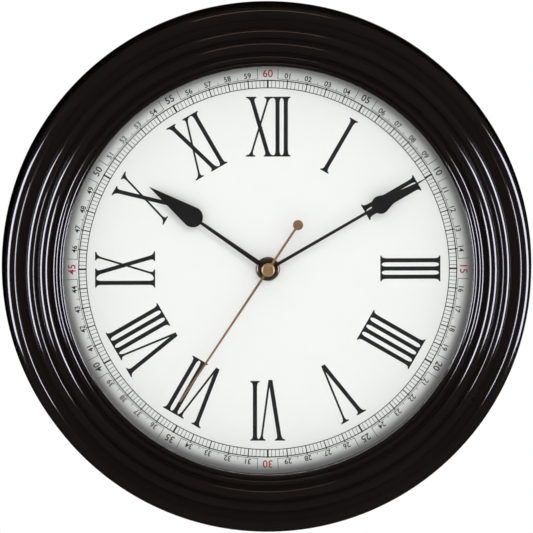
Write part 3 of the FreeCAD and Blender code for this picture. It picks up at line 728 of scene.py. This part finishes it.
def makeSecondHand():
    look = secondLook
    low, top = levelOf("second_hand")
    material = metalMaterial("agedBrass", look["color"], look["roughness"], (1, 1, 1), 900.0, 0.15, 0.72)
    material.node_tree.nodes["Principled BSDF"].inputs["Metallic"].default_value = 0.25
    turn = clockTurn(look["turn"])
    made = bmesh.new()
    tail, middle, tip = look["blade"]
    blade = [(tail, look["tailAt"]), (middle, 0.0), (tip, look["tipAt"] - 0.4), (0.0, look["tipAt"])]
    blade += [(-x, y) for x, y in reversed(blade[:-1])]
    prism(made, blade, low, top, turn)
    piece = finishMesh("secondHand", meshFrom("secondHand", made), material, "seconds", ["second_hand"],
                       30)
    withBevel(piece, 0.1)
    rounds = (("secondWeight", look["weightR"], look["tailAt"]), ("secondHub", look["hubR"], 0))
    for name, radius, y in rounds:
        made = bmesh.new()
        prism(made, circleOutline(radius, 0, y), low, top - 0.01, turn)
        disc = finishMesh(name, meshFrom(name, made), material, "seconds", (), 30)
        withBevel(disc, 0.12)


makeSecondHand()

capLook = {"radius": 3.9, "color": (0.46, 0.285, 0.135), "roughness": 0.30, "edge": 1.2}


def makeCap():
    low, top = levelOf("hand_cap")
    r, edge = capLook["radius"], capLook["edge"]
    profile = [(0, low), (r - 0.2, low), (r, low + 0.2)]
    profile += arcPoints(r - edge, top - edge - 0.25, edge, 0, 70, 10)
    profile += [(1.6, top - 0.05), (0.8, top - 0.01), (0, top)]
    copper = turnedMaterial("turnedCopper", capLook["color"], capLook["roughness"], 7000.0, 0.72, 0.85)
    copper.node_tree.nodes["Principled BSDF"].inputs["Metallic"].default_value = 0.45
    return lathe("handCap", profile, 128, copper, "seconds", ["hand_cap"], closed=False)


makeCap()

nutLook = {"radius": 6.95, "bore": 3.95, "edge": 1.75, "color": (0.115, 0.078, 0.052), "roughness": 0.14}


def makeNut():
    low, top = levelOf("fixing_nut")
    r, edge = nutLook["radius"], nutLook["edge"]
    profile = [(nutLook["bore"], low), (r - 0.25, low), (r, low + 0.25)]
    profile += arcPoints(r - edge, top - edge, edge, 6, 90, 16)
    profile += [(nutLook["bore"] + 0.3, top), (nutLook["bore"], top - 0.3)]
    bronze = turnedMaterial("darkBronze", nutLook["color"], nutLook["roughness"], 5000.0, 0.7, 0.3)
    bronze.node_tree.nodes["Principled BSDF"].inputs["Metallic"].default_value = 0.35
    return lathe("fixingNut", profile, 128, bronze, "case", ["fixing_nut"])


makeNut()
print("hands made")


# finishes of the pieces kept as they are


def windingMaterial():
    # enamelled copper wire laid in rows across the coil
    mat, tree, shader = newMaterial("windingCopper", (0.60, 0.24, 0.09), 0.28, 1.0)
    coords = tree.nodes.new("ShaderNodeTexCoord")
    wave = tree.nodes.new("ShaderNodeTexWave")
    wave.bands_direction = "Z"
    wave.inputs["Scale"].default_value = 1700.0
    wave.inputs["Distortion"].default_value = 0.6
    tree.links.new(coords.outputs["Object"], wave.inputs["Vector"])
    dark = (0.30, 0.10, 0.04)
    tree.links.new(addMix(tree, wave.outputs["Fac"], dark, (0.62, 0.26, 0.10)), shader.inputs["Base Color"])
    addBump(tree, shader, wave.outputs["Fac"], 0.6, 0.00008)
    return mat


def boardMaterial():
    # coated laminate with a hint of its glass weave
    mat, tree, shader = newMaterial("boardGreen", (0.03, 0.13, 0.06), 0.35)
    brick = tree.nodes.new("ShaderNodeTexChecker")
    brick.inputs["Scale"].default_value = 1500.0
    coords = tree.nodes.new("ShaderNodeTexCoord")
    tree.links.new(coords.outputs["Object"], brick.inputs["Vector"])
    tree.links.new(addMix(tree, brick.outputs["Fac"], (0.028, 0.12, 0.055), (0.036, 0.145, 0.07)),
                   shader.inputs["Base Color"])
    tree.links.new(addRange(tree, addNoise(tree, 200.0), 0.28, 0.45), shader.inputs["Roughness"])
    return mat


def finishes():
    zinc = metalMaterial("zincPlate", (0.60, 0.60, 0.58), 0.34, (1, 1, 1), 500.0, 0.2, 0.75)
    steel = metalMaterial("groundSteel", (0.56, 0.56, 0.57), 0.25, (1, 12, 1), 900.0, 0.2, 0.8)
    nickel = metalMaterial("nickelSpring", (0.66, 0.64, 0.58), 0.25, (1, 1, 8), 700.0, 0.15, 0.8)
    brass = turnedMaterial("turnedBrass", (0.74, 0.54, 0.24), 0.25, 6000.0, 0.75, 0.4)
    iron = metalMaterial("stampedIron", (0.40, 0.40, 0.41), 0.4, (6, 1, 1), 600.0, 0.2, 0.7)
    black = mouldedMaterial("movementBlack", (0.018, 0.018, 0.019), 0.42, 1500.0, 0.35, 0.06)
    back = mouldedMaterial("backBlack", (0.020, 0.019, 0.019), 0.50, 1100.0, 0.6, 0.08)
    acetal = mouldedMaterial("naturalAcetal", (0.80, 0.78, 0.70), 0.38, 1800.0, 0.1, 0.05)
    tinted = mouldedMaterial("tintedAcetal", (0.55, 0.10, 0.05), 0.38, 1800.0, 0.1, 0.05)
    ivory = mouldedMaterial("ivoryNylon", (0.72, 0.69, 0.60), 0.45, 1500.0, 0.15, 0.06)
    reveal = mouldedMaterial("revealBlack", (0.020, 0.019, 0.018), 0.5, 900.0, 0.2, 0.05)
    return {
        "reveal_ring": reveal, "back_plate": back, "case_screws": zinc, "hanger_screws": zinc,
        "hanger_plate": metalMaterial("zincSheet", (0.58, 0.58, 0.55), 0.36, (1, 1, 5), 350.0, 0.25, 0.72),
        "movement_housing": black, "movement_cover": black, "bearing_plate": ivory,
        "threaded_stem": brass, "front_washer": brass, "hour_collet": brass, "minute_bush": brass,
        "second_tube": brass, "cannon_pinion": brass,
        "rubber_washer": mouldedMaterial("washerRubber", (0.012, 0.012, 0.012), 0.75, 700.0, 0.5, 0.08),
        "circuit_board": boardMaterial(),
        "clock_chip": mouldedMaterial("chipResin", (0.015, 0.015, 0.017), 0.3, 500.0, 0.3, 0.05),
        "quartz_crystal": nickel, "coil_bobbin": ivory, "coil_winding": windingMaterial(),
        "coil_core": iron, "stator": iron, "positive_contact": nickel, "negative_contact": nickel,
        "battery_cell": nickel,
        "battery_sleeve": mouldedMaterial("cellFilm", (0.020, 0.035, 0.09), 0.22, 300.0, 0.1, 0.04),
        "rotor_magnet": mouldedMaterial("ferrite", (0.05, 0.05, 0.052), 0.55, 1500.0, 0.4, 0.08),
        "rotor_pinion": acetal, "intermediate_wheel": acetal, "intermediate_pinion": acetal,
        "second_wheel": acetal, "third_wheel": acetal, "third_pinion": acetal, "centre_wheel": acetal,
        "minute_wheel": acetal, "hour_wheel": acetal, "second_arbor": steel, "clutch_spring": nickel,
        "minute_wheel_washer": steel, "hour_wheel_washer": nickel, "set_shaft": tinted,
        "set_shaft_washer": steel,
        "set_knob": mouldedMaterial("knobBlack", (0.03, 0.03, 0.032), 0.4, 1400.0, 0.3, 0.06),
    }


for node, material in finishes().items():
    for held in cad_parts[node].material_slots:
        held.material = material
print("finishes set")


# floor, light and camera

stageLook = {
    "floorDepth": -0.62,
    "floorHalf": 2.0,
    "room": 1.0,
    "sideStrip": {"x": 1.55, "y": -0.90, "width": 1.0, "height": 1.3, "power": 66.0,
                  "color": (0.87, 0.88, 1.0)},
    "topStrip": {"z": 1.5, "y": -0.55, "power": 1.2, "color": (1.0, 0.66, 0.48)},
    "key": {"at": (0.9, -1.9, 1.5), "size": 0.8, "power": 13.0},
    "rear": {"at": (0.8, 2.0, 1.2), "size": 1.6, "power": 60.0},
    "camera": {"elevation": 5.2, "azimuth": -1.6, "distance": 12.0, "frameWidth": 0.3068,
               "aim": (-0.00006, 0.0, -0.00083)},
}


def aim(thing, target=(0, 0, 0)):
    toward = Vector(target) - thing.location
    thing.rotation_euler = toward.to_track_quat("-Z", "Y").to_euler()


def softLight(name, at, size, power, color=(1, 1, 1), height=None, seenInGloss=True):
    data = bpy.data.lights.new(name, "AREA")
    data.shape = "RECTANGLE"
    data.size = size
    data.size_y = height or size
    data.energy = power
    data.color = color
    light = bpy.data.objects.new(name, data)
    light.location = at
    aim(light)
    light.visible_glossy = seenInGloss
    bpy.context.scene.collection.objects.link(light)
    return light


def makeLights():
    look = stageLook
    strip = look["sideStrip"]
    for side, name in ((-1, "leftStrip"), (1, "rightStrip")):
        light = softLight(name, (side * strip["x"], strip["y"], 0.0), strip["width"], strip["power"],
                          strip["color"], strip["height"])
        light.visible_diffuse = False
    top = look["topStrip"]
    softLight("topStrip", (0, top["y"], top["z"]), 0.9, top["power"], top["color"], 0.12)
    for name in ("key", "rear"):
        spec = look[name]
        softLight(name + "Light", spec["at"], spec["size"], spec["power"], seenInGloss=False)


def makeWorld():
    # a plain white room lights the matt surfaces and stays out of the gloss
    world = bpy.data.worlds.new("studio")
    bpy.context.scene.world = world
    world.use_nodes = True
    world.cycles_visibility.glossy = False
    room = world.node_tree.nodes["Background"]
    level = stageLook["room"]
    room.inputs["Color"].default_value = (level, level, level, 1)


def makeFloor():
    half = stageLook["floorHalf"]
    level = stageLook["floorDepth"]
    mesh = bpy.data.meshes.new("floor")
    corners = [(-half, -half, level), (half, -half, level), (half, half, level), (-half, half, level)]
    mesh.from_pydata(corners, [], [(0, 1, 2, 3)])
    mat, tree, shader = newMaterial("paleFloor", (0.80, 0.80, 0.79), 0.7)
    addBump(tree, shader, addNoise(tree, 200.0), 0.05, 0.0005)
    mesh.materials.append(mat)
    floor = bpy.data.objects.new("floor", mesh)
    bpy.context.scene.collection.objects.link(floor)
    floor.visible_glossy = False


def makeCamera():
    look = stageLook["camera"]
    data = bpy.data.cameras.new("camera")
    data.sensor_width = 36.0
    data.lens = 36.0 * look["distance"] / look["frameWidth"]
    data.clip_start = 0.05
    data.clip_end = 50.0
    camera = bpy.data.objects.new("camera", data)
    up, across = math.radians(look["elevation"]), math.radians(look["azimuth"])
    distance = look["distance"]
    target = Vector(look["aim"])
    level = distance * math.cos(up)
    camera.location = target + Vector((level * math.sin(across), -level * math.cos(across),
                                       distance * math.sin(up)))
    aim(camera, target)
    bpy.context.scene.collection.objects.link(camera)
    bpy.context.scene.camera = camera


makeLights()
makeWorld()
makeFloor()
makeCamera()
bpy.context.scene.view_settings.view_transform = "Standard"
print("stage made")
